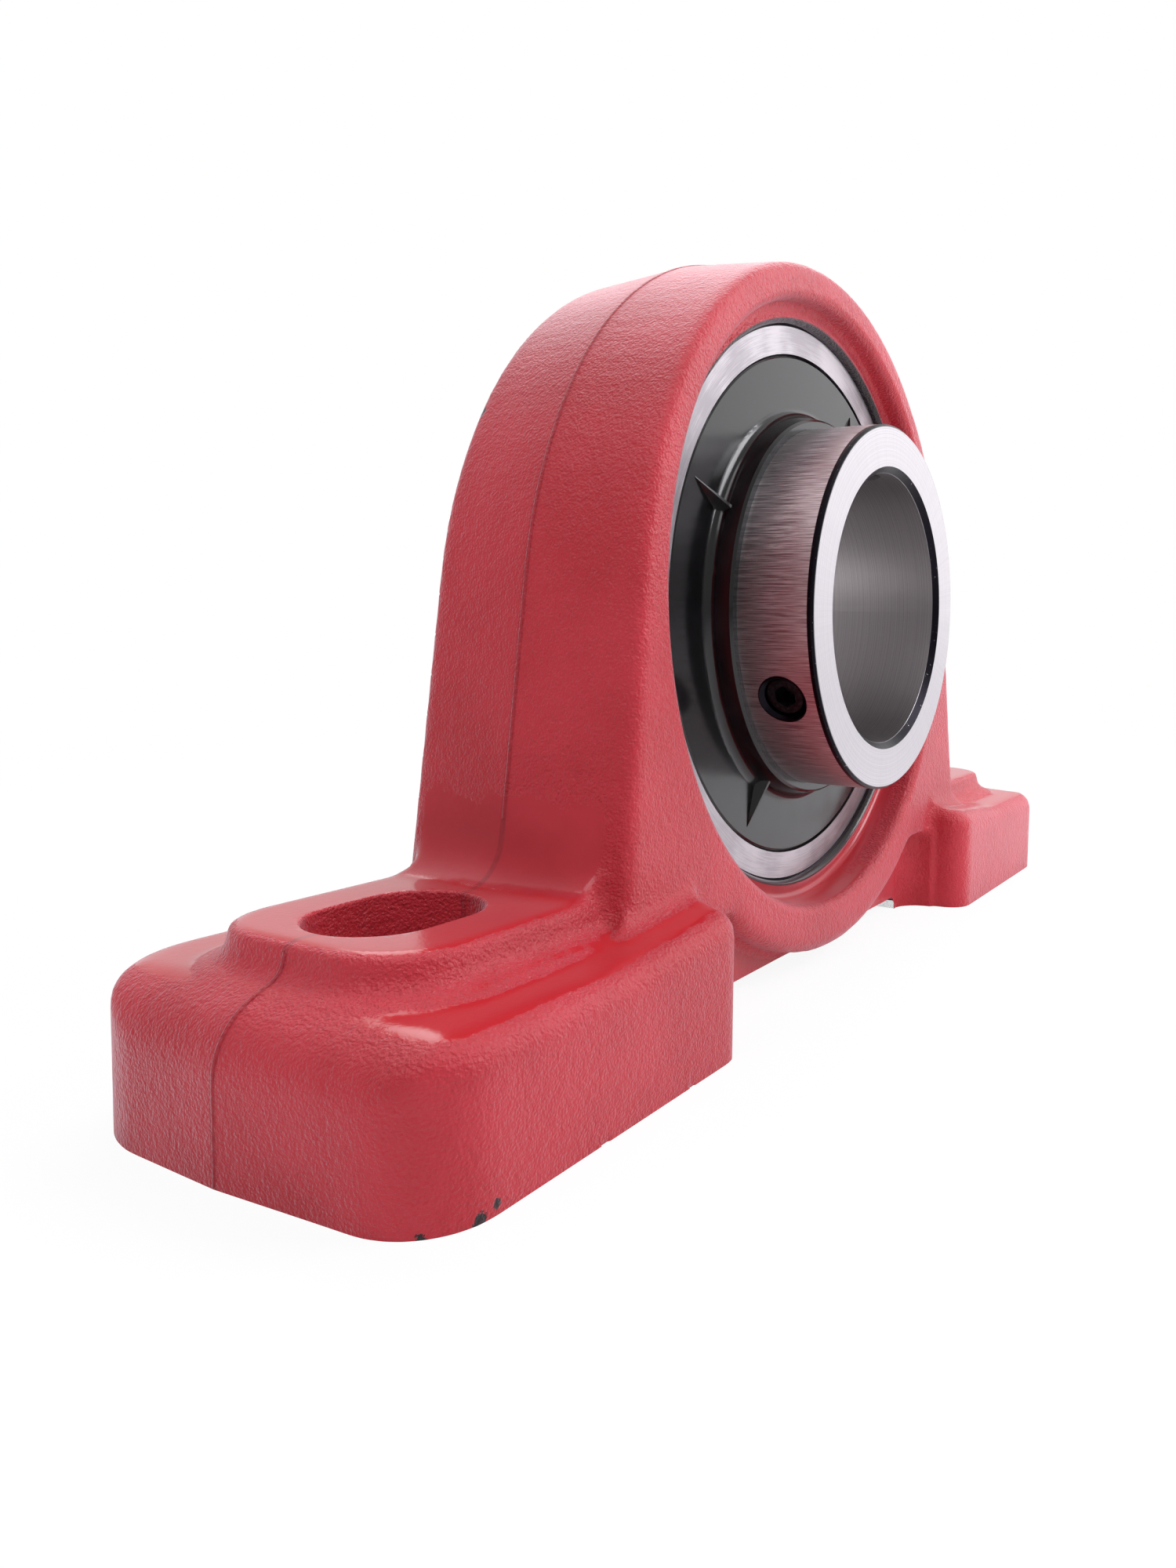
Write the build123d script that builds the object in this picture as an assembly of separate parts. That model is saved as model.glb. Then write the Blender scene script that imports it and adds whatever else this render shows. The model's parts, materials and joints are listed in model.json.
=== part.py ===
from build123d import *
import os
from math import cos, pi, radians, sin, sqrt, tan

# A pillow block bearing: cast housing on two slotted feet with a self-aligning ball
# bearing insert. X runs along the base, Y along the shaft (front at -Y), Z is up.
# The underside of the feet is z = 0 and the middle of the ball row is y = 0.
os.makedirs("parts", exist_ok=True)

# Seat and shaft
shaft_height = 150.0
bore_r = 55.0
seat_r = 120.0
seat_clear = 0.05
seat_half = 31.4
seat_inner_r = 100.0

# Feet
foot_inner_end = 110.0
foot_front = 68.8
foot_back = 71.2
foot_height = 47.3
foot_bend_x = 180.0
foot_bend_r = 150.0
foot_inner_height = 54.0
foot_draft = 2.6
foot_front_corner_r = 24.0
foot_back_corner_r = 39.0
foot_inner_corner_r = 12.0
foot_top_r = 9.0
foot_end_r = 20.0

# Bolt slots and the raised bosses round them
slot_pitch = 400.0
slot_length = 55.0
slot_to_boss = 10.5
slot_to_end = 32.5
slot_width = 40.0
slot_edge_r = 1.2
boss_top = 57.5
boss_outer_x = (slot_pitch + slot_length) / 2 + slot_to_boss
base_half_length = (slot_pitch + slot_length) / 2 + slot_to_end
boss_inner_x = 135.0
boss_front = 40.5
boss_back = 38.5
boss_corner_r = 23.0
boss_slope = 9.0
boss_edge_r = 3.0
boss_foot_r = 5.5
boss_core = 5.0

# Arch and hub, drafted both ways from the parting plane y = 0
recess_r = 124.0
arch_wall = 17.3
arch_r = recess_r + arch_wall
arch_front = 50.6
front_lean = 2.0
arch_back = 45.0
back_lean = 0.6
arch_draft = 4.6
shoulder_r = 167.0
shoulder_start = 58.0
side_slope = 0.134
side_foot_z = 35.0
arch_rim_r = 5.0
side_cove_r = 16.0
hub_wall = 18.4
hub_r = recess_r + hub_wall
hub_drop = 1.4
hub_top_z = 75.0
web_half_length = 125.0
web_half_depth = 38.0
web_underside = 5.0
web_top = 60.0
web_fillet_r = 14.0
foot_cove_r = 7.0
cove_sink = 3.0
spare = 8.0

# Front and back recess of the hub
recess_lip_r = 5.0
recess_corner_r = 3.0
ridge_r = 117.1
ridge_y = 33.2
groove_y = 31.5

# Loading notches at the back of the seat and the grease way
notch_half_height = 31.5
notch_r = 121.2
grease_groove_y = 19.0
grease_groove_half = 4.0
grease_groove_r = 121.6
nipple_angle = 50.0
grease_hole_r = 2.5
nipple_thread_r = 5.0
nipple_pad_r = 9.0
nipple_pad_root = recess_r + 3.0
nipple_pad_top = arch_r + 0.7
nipple_seat = nipple_pad_top - 11.0

# Ball row
ball_count = 8
ball_r = 20.6375
pitch_r = 87.5
race_r = 21.25
race_clear = 0.03
pocket_clear = 0.10
first_ball = 22.5

# Outer ring
ring_half = 30.0
ring_face_r = 115.0
ring_edge_y = 28.5
ring_land_r = 101.0
seal_seat_r = 104.2
seal_seat_y = 23.0
ring_hole_r = 2.0

# Inner ring
inner_od_r = 74.0
inner_front = 71.0
inner_back = 46.0
inner_od_chamfer = 1.0
bore_chamfer = 2.5

# Cage
cage_in_r = 80.5
cage_out_r = 94.5
cage_sheet = 2.0
cage_split = 0.02
rivet_r = 2.2
rivet_hole_r = 2.25
rivet_head_r = 4.0
rivet_head_h = 1.6

# Seals and flingers
seal_out_r = 104.15
seal_in_y = 23.6
seal_out_y = 26.6
seal_lip_r = 74.08
flinger_out_r = 103.4
flinger_in_y = 27.4
flinger_face_y = 29.8
flinger_hub_r = 74.03
collar_r = 77.8
collar_y = 40.0
rib_tip_r = 98.5
rib_root_r = 76.8
rib_width = 7.6
rib_height_y = 35.4
rib_first = 63.0
rib_count = 4

# Set screws
screw_y = 55.0
screw_r = 8.0
screw_fit = 0.05
screw_tip = 56.0
screw_head = 71.4
socket_flats = 8.0
socket_depth = 8.0
screw_angles = (208.3, 88.3)

# Grease nipple
nipple_hex_z = nipple_pad_top + 0.1
nipple_hex_h = 5.0
nipple_flats = 11.0
nipple_hole_r = 1.0
nipple_bore_r = 1.9
nipple_shelf = 8.0
nipple_lid = 20.6
nipple_ball_r = 1.5
spring_wire = 0.25
spring_coil_r = 1.3
spring_turns = 4
spring_room = 0.9

LOW = (Align.CENTER, Align.CENTER, Align.MIN)


def at_axis(shape):
    """Lift a shape turned about the Y axis to the shaft height."""
    return Pos(0, 0, shaft_height) * shape


def turned(edges):
    """Revolve a closed outline drawn as (radius, y) about the shaft axis."""
    return at_axis(revolve(make_face(edges), axis=Axis.Y))


def radial(angle, y, shape):
    """Place a shape drawn along +Z so that it points away from the shaft axis."""
    return Pos(0, y, shaft_height) * Rot(0, 90 - angle, 0) * shape


def both_sides(half):
    return half + mirror(half, about=Plane.XZ)


def both_ends(part):
    return part + mirror(part, about=Plane.YZ)


def side_hip():
    """Centre of the shoulder arc, and the point where it runs into the side."""
    start = radians(90 + shoulder_start)
    lean = Vector(-1, side_slope).normalized()
    shift = arch_r - shoulder_r
    centre = Vector(shift * cos(start), shaft_height + shift * sin(start))
    return centre, lean, centre + lean * shoulder_r


def side_x(z):
    """Where the side of the arch stands at a height, on the parting plane."""
    hip = side_hip()[2]
    return hip.X - (hip.Y - z) * side_slope


def faced(shape, depth, lean):
    """Cut a half by its face, which leans in towards the parting plane as it rises."""
    size = 4 * base_half_length
    ahead = Box(size, size, size, align=(Align.CENTER, Align.MAX, Align.CENTER))
    return shape - Pos(0, -depth, 0) * Rot(-lean, 0, 0) * ahead


def rounded_rim(half, low):
    """Round the rim of the outer face of a half that reaches down to a height."""
    face = half.faces().sort_by(Axis.Y)[0]
    rim = [e for e in face.edges() if e.bounding_box().max.Z > low]
    return fillet(rim, arch_rim_r)


def faced_both(outline, taper, low):
    """Draw an outline out both ways to the leaning faces and round their rims."""
    front = extrude(outline, amount=arch_front + spare, taper=taper)
    front = rounded_rim(faced(front, arch_front, front_lean), low)
    back = extrude(outline, amount=arch_back + spare, taper=taper)
    back = rounded_rim(faced(back, arch_back, back_lean), low)
    return front + mirror(back, about=Plane.XZ)


# Arch: one half outline on the parting plane, mirrored, extruded with draft
def arch_prism():
    centre, lean, hip = side_hip()
    start = radians(90 + shoulder_start)
    middle = radians(90 + shoulder_start / 2)
    crown = Vector(0, shaft_height + arch_r)
    crown_mid = Vector(arch_r * cos(middle), shaft_height + arch_r * sin(middle))
    joint = Vector(arch_r * cos(start), shaft_height + arch_r * sin(start))
    hip_mid = centre + ((joint - centre).normalized() + lean).normalized() * shoulder_r
    foot = Vector(side_x(side_foot_z), side_foot_z)
    left = [
        ThreePointArc(crown, crown_mid, joint),
        ThreePointArc(joint, hip_mid, hip),
        Line(hip, foot),
        Line(foot, (0, side_foot_z)),
    ]
    right = [mirror(e, about=Plane.YZ) for e in left]
    outline = Plane.XZ * make_face(left + right)
    return faced_both(outline, arch_draft, side_foot_z + spare)


def hub_disc():
    outline = Pos(0, 0, shaft_height - hub_drop) * (Plane.XZ * Circle(hub_r))
    disc = faced_both(outline, 0, 0)
    keep = Pos(0, 0, hub_top_z / 2) * Box(2 * hub_r, 4 * arch_front, hub_top_z)
    return disc & keep


def foot_outline():
    x0 = -base_half_length
    x1 = -foot_inner_end
    outline = Polyline(
        (x0, -base_half_length),
        (x1, -base_half_length),
        (x1, foot_inner_height),
        (-foot_bend_x, foot_height),
        (x0, foot_height),
        close=True,
    )
    face = make_face(outline)
    bend = face.vertices().sort_by(Axis.X)
    bend = [v for v in bend if abs(v.X + foot_bend_x) < 1]
    return fillet(bend, foot_bend_r)


def foot_body(face):
    """Draw an outline of the foot out from the parting plane, both ways."""
    front = extrude(Plane.XZ * face, amount=foot_front, taper=foot_draft)
    back = extrude(Plane.XZ * face, amount=foot_back, taper=foot_draft)
    low = Pos(-base_half_length, 0, -base_half_length) * Box(*[2 * base_half_length] * 3)
    return front + mirror(back, about=Plane.XZ) - low


def uprights(block):
    edges = [e for e in block.edges() if abs(e.tangent_at(0.5).Z) > 0.9]
    return [e for e in edges if abs(e.center().Y) > foot_front / 2]


def foot_block():
    outer = -base_half_length + foot_front / 2
    inner = -foot_inner_end - foot_front / 2
    outline = foot_outline()
    block = foot_body(outline)
    edges = [e for e in uprights(block) if e.center().X < outer and e.center().Y < 0]
    block = fillet(edges, foot_front_corner_r)
    edges = [e for e in uprights(block) if e.center().X < outer and e.center().Y > 0]
    block = fillet(edges, foot_back_corner_r)
    edges = [e for e in uprights(block) if e.center().X > inner]
    block = fillet(edges, foot_inner_corner_r)
    top = [e for e in block.edges() if e.bounding_box().min.Z > foot_height - spare]
    top = [e for e in top if abs(e.center().Y) > foot_front / 4 or e.center().X < outer]
    block = fillet(top, foot_top_r)
    corner = [v for v in outline.vertices() if v.Y > 0 and v.X < outer]
    return block & foot_body(fillet(corner, foot_end_r))


def boss_pad():
    """A raised pad with a profile run round its rim: edge, steep side and concave foot."""
    slope = radians(boss_slope)
    rise = boss_top - foot_height
    foot_x = rise * tan(slope)
    reach = foot_x + boss_foot_r * tan(radians(45) - slope / 2) + 0.5
    low = foot_height - spare
    rim = FilletPolyline(
        (-boss_core, boss_top),
        (0, boss_top),
        (foot_x, foot_height),
        (reach, foot_height),
        radius=[boss_edge_r, boss_foot_r],
    )
    under = Polyline((reach, foot_height), (reach, low), (-boss_core, low), (-boss_core, boss_top))
    start = Vector(-boss_inner_x, -boss_front, 0)
    path = FilletPolyline(
        start,
        (-boss_outer_x, -boss_front, 0),
        (-boss_outer_x, boss_back, 0),
        (-boss_inner_x, boss_back, 0),
        radius=boss_corner_r,
    )
    across = Plane(origin=start, x_dir=(0, -1, 0), z_dir=(-1, 0, 0))
    band = sweep(across * make_face(rim + under), path=path)
    inset = boss_core / 2
    core = Rectangle(
        boss_outer_x - inset - boss_inner_x,
        boss_front + boss_back - 2 * inset,
        align=(Align.MIN, Align.MIN),
    )
    core = fillet(core.vertices().sort_by(Axis.X)[:2], boss_corner_r - inset)
    core = Pos(-boss_outer_x + inset, -boss_front + inset, low) * core
    return band + extrude(core, amount=boss_top - low)


def web_bar():
    h = web_top - web_underside
    return Pos(0, 0, web_underside + h / 2) * Box(2 * web_half_length, 2 * web_half_depth, h)


def cove(corner, up, out, radius):
    """Face of a concave corner between two walls that run off along two directions."""
    up = up.normalized()
    out = out.normalized()
    half = radians(up.get_angle(out) / 2)
    reach = radius / tan(half)
    inward = (up + out).normalized()
    middle = corner + inward * (radius / sin(half) - radius)
    a = corner + up * reach
    b = corner + out * reach
    back = corner - inward * cove_sink
    return make_face([ThreePointArc(a, middle, b), Line(b, back), Line(back, a)])


def side_cove():
    """Concave corner where each side of the arch comes down on its boss."""
    up = Vector(side_slope, 0, 1)
    corner = Vector(side_x(boss_top), 0, boss_top)
    face = cove(corner, up, Vector(-1, 0, 0), side_cove_r)
    run = Vector(tan(radians(arch_draft)) * up.length, -1, 0)
    amount = (boss_back - boss_edge_r) * run.length
    return both_ends(both_sides(extrude(face, amount=amount, dir=run.normalized())))


def foot_cove(depth, lean):
    """Concave corner where a face of the arch comes down on the top of a foot."""
    rise = (foot_inner_height - foot_height) / (foot_bend_x - foot_inner_end)
    fall = tan(radians(foot_draft)) * sqrt(1 + rise ** 2)
    back = tan(radians(lean))
    ends = []
    for x in (side_x(foot_height), -foot_inner_end - foot_inner_corner_r / 2):
        top = foot_height + (x + foot_bend_x) * rise
        z = (top - depth * fall) / (1 - back * fall)
        ends.append(Vector(x, -depth + back * z, z))
    face = cove(ends[0], Vector(0, back, 1), Vector(0, -1, -fall), foot_cove_r)
    run = ends[1] - ends[0]
    return both_ends(extrude(face, amount=run.length, dir=run.normalized()))


def corner_fill():
    """Concave vertical corners between the inner ends of the feet and the web."""
    r = web_fillet_r
    h = foot_height - spare
    face = cove(
        Vector(-foot_inner_end, -web_half_depth),
        Vector(0, -1),
        Vector(1, 0),
        r,
    )
    return both_ends(both_sides(extrude(face, amount=h)))


def recess():
    """One side of the hub opening below its bore, from the seat edge to the groove."""
    rs = seat_r + seat_clear
    seat_end = sqrt(rs ** 2 - seat_half ** 2)
    y0 = -groove_y - recess_corner_r
    s = recess_corner_r * sin(radians(45))
    lines = [
        Line((0, y0), (recess_r, y0)),
        ThreePointArc(
            (recess_r, y0),
            (recess_r - recess_corner_r + s, y0 + s),
            (recess_r - recess_corner_r, -groove_y),
        ),
        Line((recess_r - recess_corner_r, -groove_y), (ridge_r + 1.6, -ridge_y + 0.7)),
        ThreePointArc(
            (ridge_r + 1.6, -ridge_y + 0.7),
            (ridge_r + 0.2, -ridge_y),
            (ridge_r - 0.6, -ridge_y + 0.4),
        ),
        Line((ridge_r - 0.6, -ridge_y + 0.4), (seat_end, -seat_half)),
        Line((seat_end, -seat_half), (0, -seat_half)),
        Line((0, -seat_half), (0, y0)),
    ]
    return turned(lines)


def bored(body):
    """Bore the hub from both faces down to the grooves and round the two mouths."""
    y = groove_y + recess_corner_r
    bore = Pos(0, -y, 0) * extrude(Plane.XZ * Circle(recess_r), amount=arch_front)
    body = body - both_sides(at_axis(bore))
    mouth = [e for e in body.edges() if abs(e.length - 2 * pi * recess_r) < 1]
    mouth = [e for e in mouth if abs(e.center().Y) > y + 1]
    return fillet(mouth, recess_lip_r)


def seat():
    rs = seat_r + seat_clear
    edge = sqrt(rs ** 2 - seat_half ** 2)
    ball = [
        Line((0, -seat_half), (edge, -seat_half)),
        ThreePointArc((edge, -seat_half), (rs, 0), (edge, seat_half)),
        Line((edge, seat_half), (0, seat_half)),
        Line((0, seat_half), (0, -seat_half)),
    ]
    g0 = grease_groove_y - grease_groove_half
    g1 = grease_groove_y + grease_groove_half
    ring = Polyline((100, g0), (grease_groove_r, g0), (grease_groove_r, g1), (100, g1), close=True)
    return turned(ball) + turned([ring])


def notches():
    """The two ways by which the insert goes in, turned crosswise, from the back."""
    y = arch_back
    round_way = at_axis(extrude(Plane.XZ * Circle(notch_r), amount=-2 * y))
    flat_way = at_axis(Pos(0, y, 0) * Box(3 * notch_r, 2 * y, 2 * notch_half_height))
    return round_way & flat_way


def bolt_slot(x):
    tool = extrude(SlotOverall(slot_length, slot_width), amount=boss_top + 20)
    lip = extrude(SlotOverall(slot_length, slot_width), amount=slot_edge_r + 1, taper=-45)
    return Pos(x, 0, -10) * tool + Pos(x, 0, boss_top - slot_edge_r) * lip


def nipple_pad():
    height = nipple_pad_top - nipple_pad_root
    pad = extrude(Circle(nipple_pad_r), amount=height, taper=arch_draft)
    return radial(nipple_angle, grease_groove_y, Pos(0, 0, nipple_pad_root) * pad)


def grease_way():
    y = grease_groove_y
    drill = Pos(0, 0, seat_r - 2) * extrude(Circle(grease_hole_r), amount=nipple_pad_top - seat_r)
    tap = Pos(0, 0, nipple_seat) * extrude(Circle(nipple_thread_r), amount=nipple_pad_top)
    return radial(nipple_angle, y, drill + tap)


def housing():
    body = arch_prism() + hub_disc() + web_bar()
    body = body + both_ends(foot_block()) + both_ends(boss_pad())
    body = body + side_cove() + foot_cove(arch_front, front_lean)
    body = body + mirror(foot_cove(arch_back, back_lean), about=Plane.XZ)
    body = body + corner_fill() + nipple_pad()
    body = bored(body)
    body = body - at_axis(extrude(Plane.XZ * Circle(seat_inner_r), amount=seat_half, both=True))
    body = body - seat() - both_sides(recess()) - notches() - grease_way()
    body = body - bolt_slot(-slot_pitch / 2) - bolt_slot(slot_pitch / 2)
    return body


# Rolling parts
def ball_angle(i):
    return first_ball + i * 360 / ball_count


def ball_at(i, radius):
    return radial(ball_angle(i), 0, Pos(0, 0, pitch_r) * Sphere(radius))


def race(centre_r, land_r):
    """Half width of the groove where it meets the land."""
    return sqrt(race_r ** 2 - (land_r - centre_r) ** 2)


def outer_ring():
    centre = pitch_r + ball_r + race_clear - race_r
    half = race(centre, ring_land_r)
    edge_r = sqrt(seat_r ** 2 - ring_edge_y ** 2)
    lines = [
        ThreePointArc((edge_r, -ring_edge_y), (seat_r, 0), (edge_r, ring_edge_y)),
        Line((edge_r, ring_edge_y), (ring_face_r, ring_half)),
        Line((ring_face_r, ring_half), (seal_seat_r, ring_half)),
        Line((seal_seat_r, ring_half), (seal_seat_r, seal_seat_y)),
        Line((seal_seat_r, seal_seat_y), (ring_land_r, seal_seat_y)),
        Line((ring_land_r, seal_seat_y), (ring_land_r, half)),
        ThreePointArc((ring_land_r, half), (centre + race_r, 0), (ring_land_r, -half)),
        Line((ring_land_r, -half), (ring_land_r, -seal_seat_y)),
        Line((ring_land_r, -seal_seat_y), (seal_seat_r, -seal_seat_y)),
        Line((seal_seat_r, -seal_seat_y), (seal_seat_r, -ring_half)),
        Line((seal_seat_r, -ring_half), (ring_face_r, -ring_half)),
        Line((ring_face_r, -ring_half), (edge_r, -ring_edge_y)),
    ]
    body = turned(lines)
    for k in range(3):
        hole = Pos(0, 0, 90) * extrude(Circle(ring_hole_r), amount=40)
        body = body - radial(nipple_angle + k * 120, grease_groove_y, hole)
    return body


def inner_ring():
    centre = pitch_r - ball_r - race_clear + race_r
    half = race(centre, inner_od_r)
    c = inner_od_chamfer
    b = bore_chamfer
    lines = [
        Line((bore_r, -inner_front + b), (bore_r, inner_back - b)),
        Line((bore_r, inner_back - b), (bore_r + b, inner_back)),
        Line((bore_r + b, inner_back), (inner_od_r - c, inner_back)),
        Line((inner_od_r - c, inner_back), (inner_od_r, inner_back - c)),
        Line((inner_od_r, inner_back - c), (inner_od_r, half)),
        ThreePointArc((inner_od_r, half), (centre - race_r, 0), (inner_od_r, -half)),
        Line((inner_od_r, -half), (inner_od_r, -inner_front + c)),
        Line((inner_od_r, -inner_front + c), (inner_od_r - c, -inner_front)),
        Line((inner_od_r - c, -inner_front), (bore_r + b, -inner_front)),
        Line((bore_r + b, -inner_front), (bore_r, -inner_front + b)),
    ]
    body = turned(lines)
    for angle in screw_angles:
        tap = Pos(0, 0, 40) * extrude(Circle(screw_r), amount=50)
        mouth = Pos(0, 0, inner_od_r - 1.6) * Cone(screw_r, screw_r + 3.2, 3.2, align=LOW)
        body = body - radial(angle, -screw_y, tap + mouth)
    return body


def cage_half(side):
    y0 = cage_split
    y1 = cage_split + cage_sheet
    depth = ball_r + pocket_clear + cage_sheet
    slab = at_axis(Pos(0, (y0 + y1) / 2, 0) * Box(4 * pitch_r, cage_sheet, 4 * pitch_r))
    band = Plane.XZ * (Circle(cage_out_r) - Circle(cage_in_r))
    band = at_axis(Pos(0, y0, 0) * extrude(band, amount=-depth))
    body = slab
    for i in range(ball_count):
        body = body + ball_at(i, depth)
    body = body & band
    for i in range(ball_count):
        body = body - ball_at(i, ball_r + pocket_clear)
    for i in range(ball_count):
        hole = Pos(0, 0, pitch_r) * Rot(90, 0, 0) * Cylinder(rivet_hole_r, 20)
        body = body - radial(ball_angle(i + 0.5), 0, hole)
    return body if side > 0 else mirror(body, about=Plane.XZ)


def cage_rivet(i):
    grip = cage_split + cage_sheet
    shank = Cylinder(rivet_r, 2 * grip + 0.4)
    head = Cylinder(rivet_head_r, rivet_head_h)
    head = fillet(head.edges().group_by(Axis.Z)[-1], 1.0)
    head = Pos(0, 0, grip + 0.02 + rivet_head_h / 2) * head
    rivet = shank + head + mirror(head, about=Plane.XY)
    return radial(ball_angle(i + 0.5), 0, Pos(0, 0, pitch_r) * Rot(90, 0, 0) * rivet)


def seal(side):
    """A flat seal held in the outer ring, its lip running on the inner ring."""
    lip = seal_in_y + 0.8
    outline = Polyline(
        (seal_out_r, seal_in_y),
        (seal_out_r, seal_out_y),
        (seal_out_r - 3, seal_out_y),
        (seal_out_r - 5, seal_out_y - 0.6),
        (seal_lip_r + 6, seal_out_y - 0.6),
        (seal_lip_r + 3, seal_out_y),
        (seal_lip_r, seal_out_y),
        (seal_lip_r, seal_out_y - 0.6),
        (seal_lip_r + 2, lip),
        (seal_out_r - 5, lip),
        (seal_out_r - 4, seal_in_y),
        close=True,
    )
    body = turned([outline])
    return body if side > 0 else mirror(body, about=Plane.XZ)


def flinger(side):
    """The shield pressed on the inner ring, drawn for the front and turned round."""
    face = -flinger_face_y
    neck = collar_r + 1.2
    lines = [
        Line((flinger_hub_r, -flinger_in_y), (flinger_out_r, -flinger_in_y)),
        Line((flinger_out_r, -flinger_in_y), (flinger_out_r, face + 0.5)),
        Line((flinger_out_r, face + 0.5), (flinger_out_r - 0.7, face)),
        Line((flinger_out_r - 0.7, face), (neck + 4, face)),
        ThreePointArc((neck + 4, face), (neck + 1.2, face - 1.2), (neck, face - 4)),
        Line((neck, face - 4), (collar_r, -collar_y + 1)),
        Line((collar_r, -collar_y + 1), (collar_r - 1, -collar_y)),
        Line((collar_r - 1, -collar_y), (flinger_hub_r, -collar_y)),
        Line((flinger_hub_r, -collar_y), (flinger_hub_r, -flinger_in_y)),
    ]
    body = turned(lines)
    for i in range(rib_count):
        body = body + radial(rib_first + i * 360 / rib_count, 0, flinger_rib())
    return body if side < 0 else mirror(body, about=Plane.XZ)


def flinger_rib():
    low = -flinger_face_y + 0.6
    w = rib_width / 2
    root = Polyline((-w, low), (w, low), (0.7, -rib_height_y), (-0.7, -rib_height_y), close=True)
    t = 0.25
    end = -flinger_face_y - 0.15
    tip = Polyline((-t, low), (t, low), (t / 2, end), (-t / 2, end), close=True)
    root = Pos(0, 0, rib_root_r) * make_face(root)
    tip = Pos(0, 0, rib_tip_r) * make_face(tip)
    return loft([root, tip])


def set_screw(angle):
    r = screw_r - screw_fit
    length = screw_head - screw_tip
    body = extrude(Circle(r), amount=length)
    body = chamfer(body.edges().group_by(Axis.Z)[-1], 0.8)
    body = chamfer(body.edges().group_by(Axis.Z)[0], 2.4)
    cup = Cone(0.01, 3.0, 1.6, align=LOW)
    hexagon = RegularPolygon(socket_flats / 2, 6, major_radius=False)
    socket = Pos(0, 0, length - socket_depth) * extrude(hexagon, amount=socket_depth + 1)
    body = body - socket - mirror(cup, about=Plane.XY).moved(Location((0, 0, 1.6)))
    return radial(angle, -screw_y, Pos(0, 0, screw_tip) * body)


# Grease nipple, drawn along +Z from its seat in the housing
def nipple_body():
    thread = Cylinder(nipple_thread_r - 0.03, nipple_hex_z - nipple_seat, align=LOW)
    thread = chamfer(thread.edges().group_by(Axis.Z)[0], 0.8)
    flats = RegularPolygon(nipple_flats / 2, 6, major_radius=False)
    nut = Pos(0, 0, nipple_hex_z - nipple_seat) * extrude(flats, amount=nipple_hex_h)
    top = nipple_hex_z - nipple_seat + nipple_hex_h
    outline = Polyline(
        (0, top - 1),
        (3.2, top - 1),
        (3.2, top + 0.2),
        (2.5, top + 1.4),
        (2.5, top + 2.6),
        (3.25, top + 4.0),
        (3.25, top + 4.8),
        (2.2, top + 7.0),
        (0, top + 7.0),
        close=True,
    )
    head = revolve(Plane.XZ * make_face(outline), axis=Axis.Z)
    wide = Pos(0, 0, nipple_shelf) * Cylinder(nipple_bore_r, nipple_lid - nipple_shelf, align=LOW)
    small = Pos(0, 0, -1) * Cylinder(nipple_hole_r, 60, align=LOW)
    return in_nipple(thread + nut + head - wide - small)


def in_nipple(shape):
    return radial(nipple_angle, grease_groove_y, Pos(0, 0, nipple_seat) * shape)


def nipple_ball():
    drop = sqrt(nipple_ball_r ** 2 - nipple_hole_r ** 2)
    return in_nipple(Pos(0, 0, nipple_lid - drop - 0.03) * Sphere(nipple_ball_r))


def nipple_spring():
    drop = sqrt(nipple_ball_r ** 2 - nipple_hole_r ** 2)
    top = nipple_lid - drop - 0.03 - nipple_ball_r - spring_wire - 0.02
    low = nipple_shelf + spring_room + spring_wire
    path = Helix(pitch=(top - low) / spring_turns, height=top - low, radius=spring_coil_r)
    start = Plane(path @ 0, z_dir=path % 0)
    wire = sweep(start * Circle(spring_wire), path=path, is_frenet=True)
    return in_nipple(Pos(0, 0, low) * wire)


def save(shape, name):
    solids = shape.solids()
    if len(solids) == 1:
        shape = solids[0]
    else:
        shape = Compound(children=list(solids))
    export_step(shape, "parts/" + name + ".step")
    print(name, len(solids), shape.is_valid, round(shape.volume))


save(housing(), "housing")
save(outer_ring(), "outer_ring")
save(inner_ring(), "inner_ring")
for i in range(ball_count):
    save(ball_at(i, ball_r), "ball_" + str(i + 1))
save(cage_half(-1), "cage_front")
save(cage_half(1), "cage_back")
save(Compound(children=[cage_rivet(i) for i in range(ball_count)]), "cage_rivets")
save(seal(-1), "seal_front")
save(seal(1), "seal_back")
save(flinger(-1), "flinger_front")
save(flinger(1), "flinger_back")
for i, angle in enumerate(screw_angles):
    save(set_screw(angle), "set_screw_" + str(i + 1))
save(nipple_body(), "nipple_body")
save(nipple_ball(), "nipple_ball")
save(nipple_spring(), "nipple_spring")
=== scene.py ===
import json
from math import atan2, cos, pi, radians, sin, sqrt, tan

import bmesh
import bpy
from mathutils import Matrix, Vector
from mathutils.bvhtree import BVHTree


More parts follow.
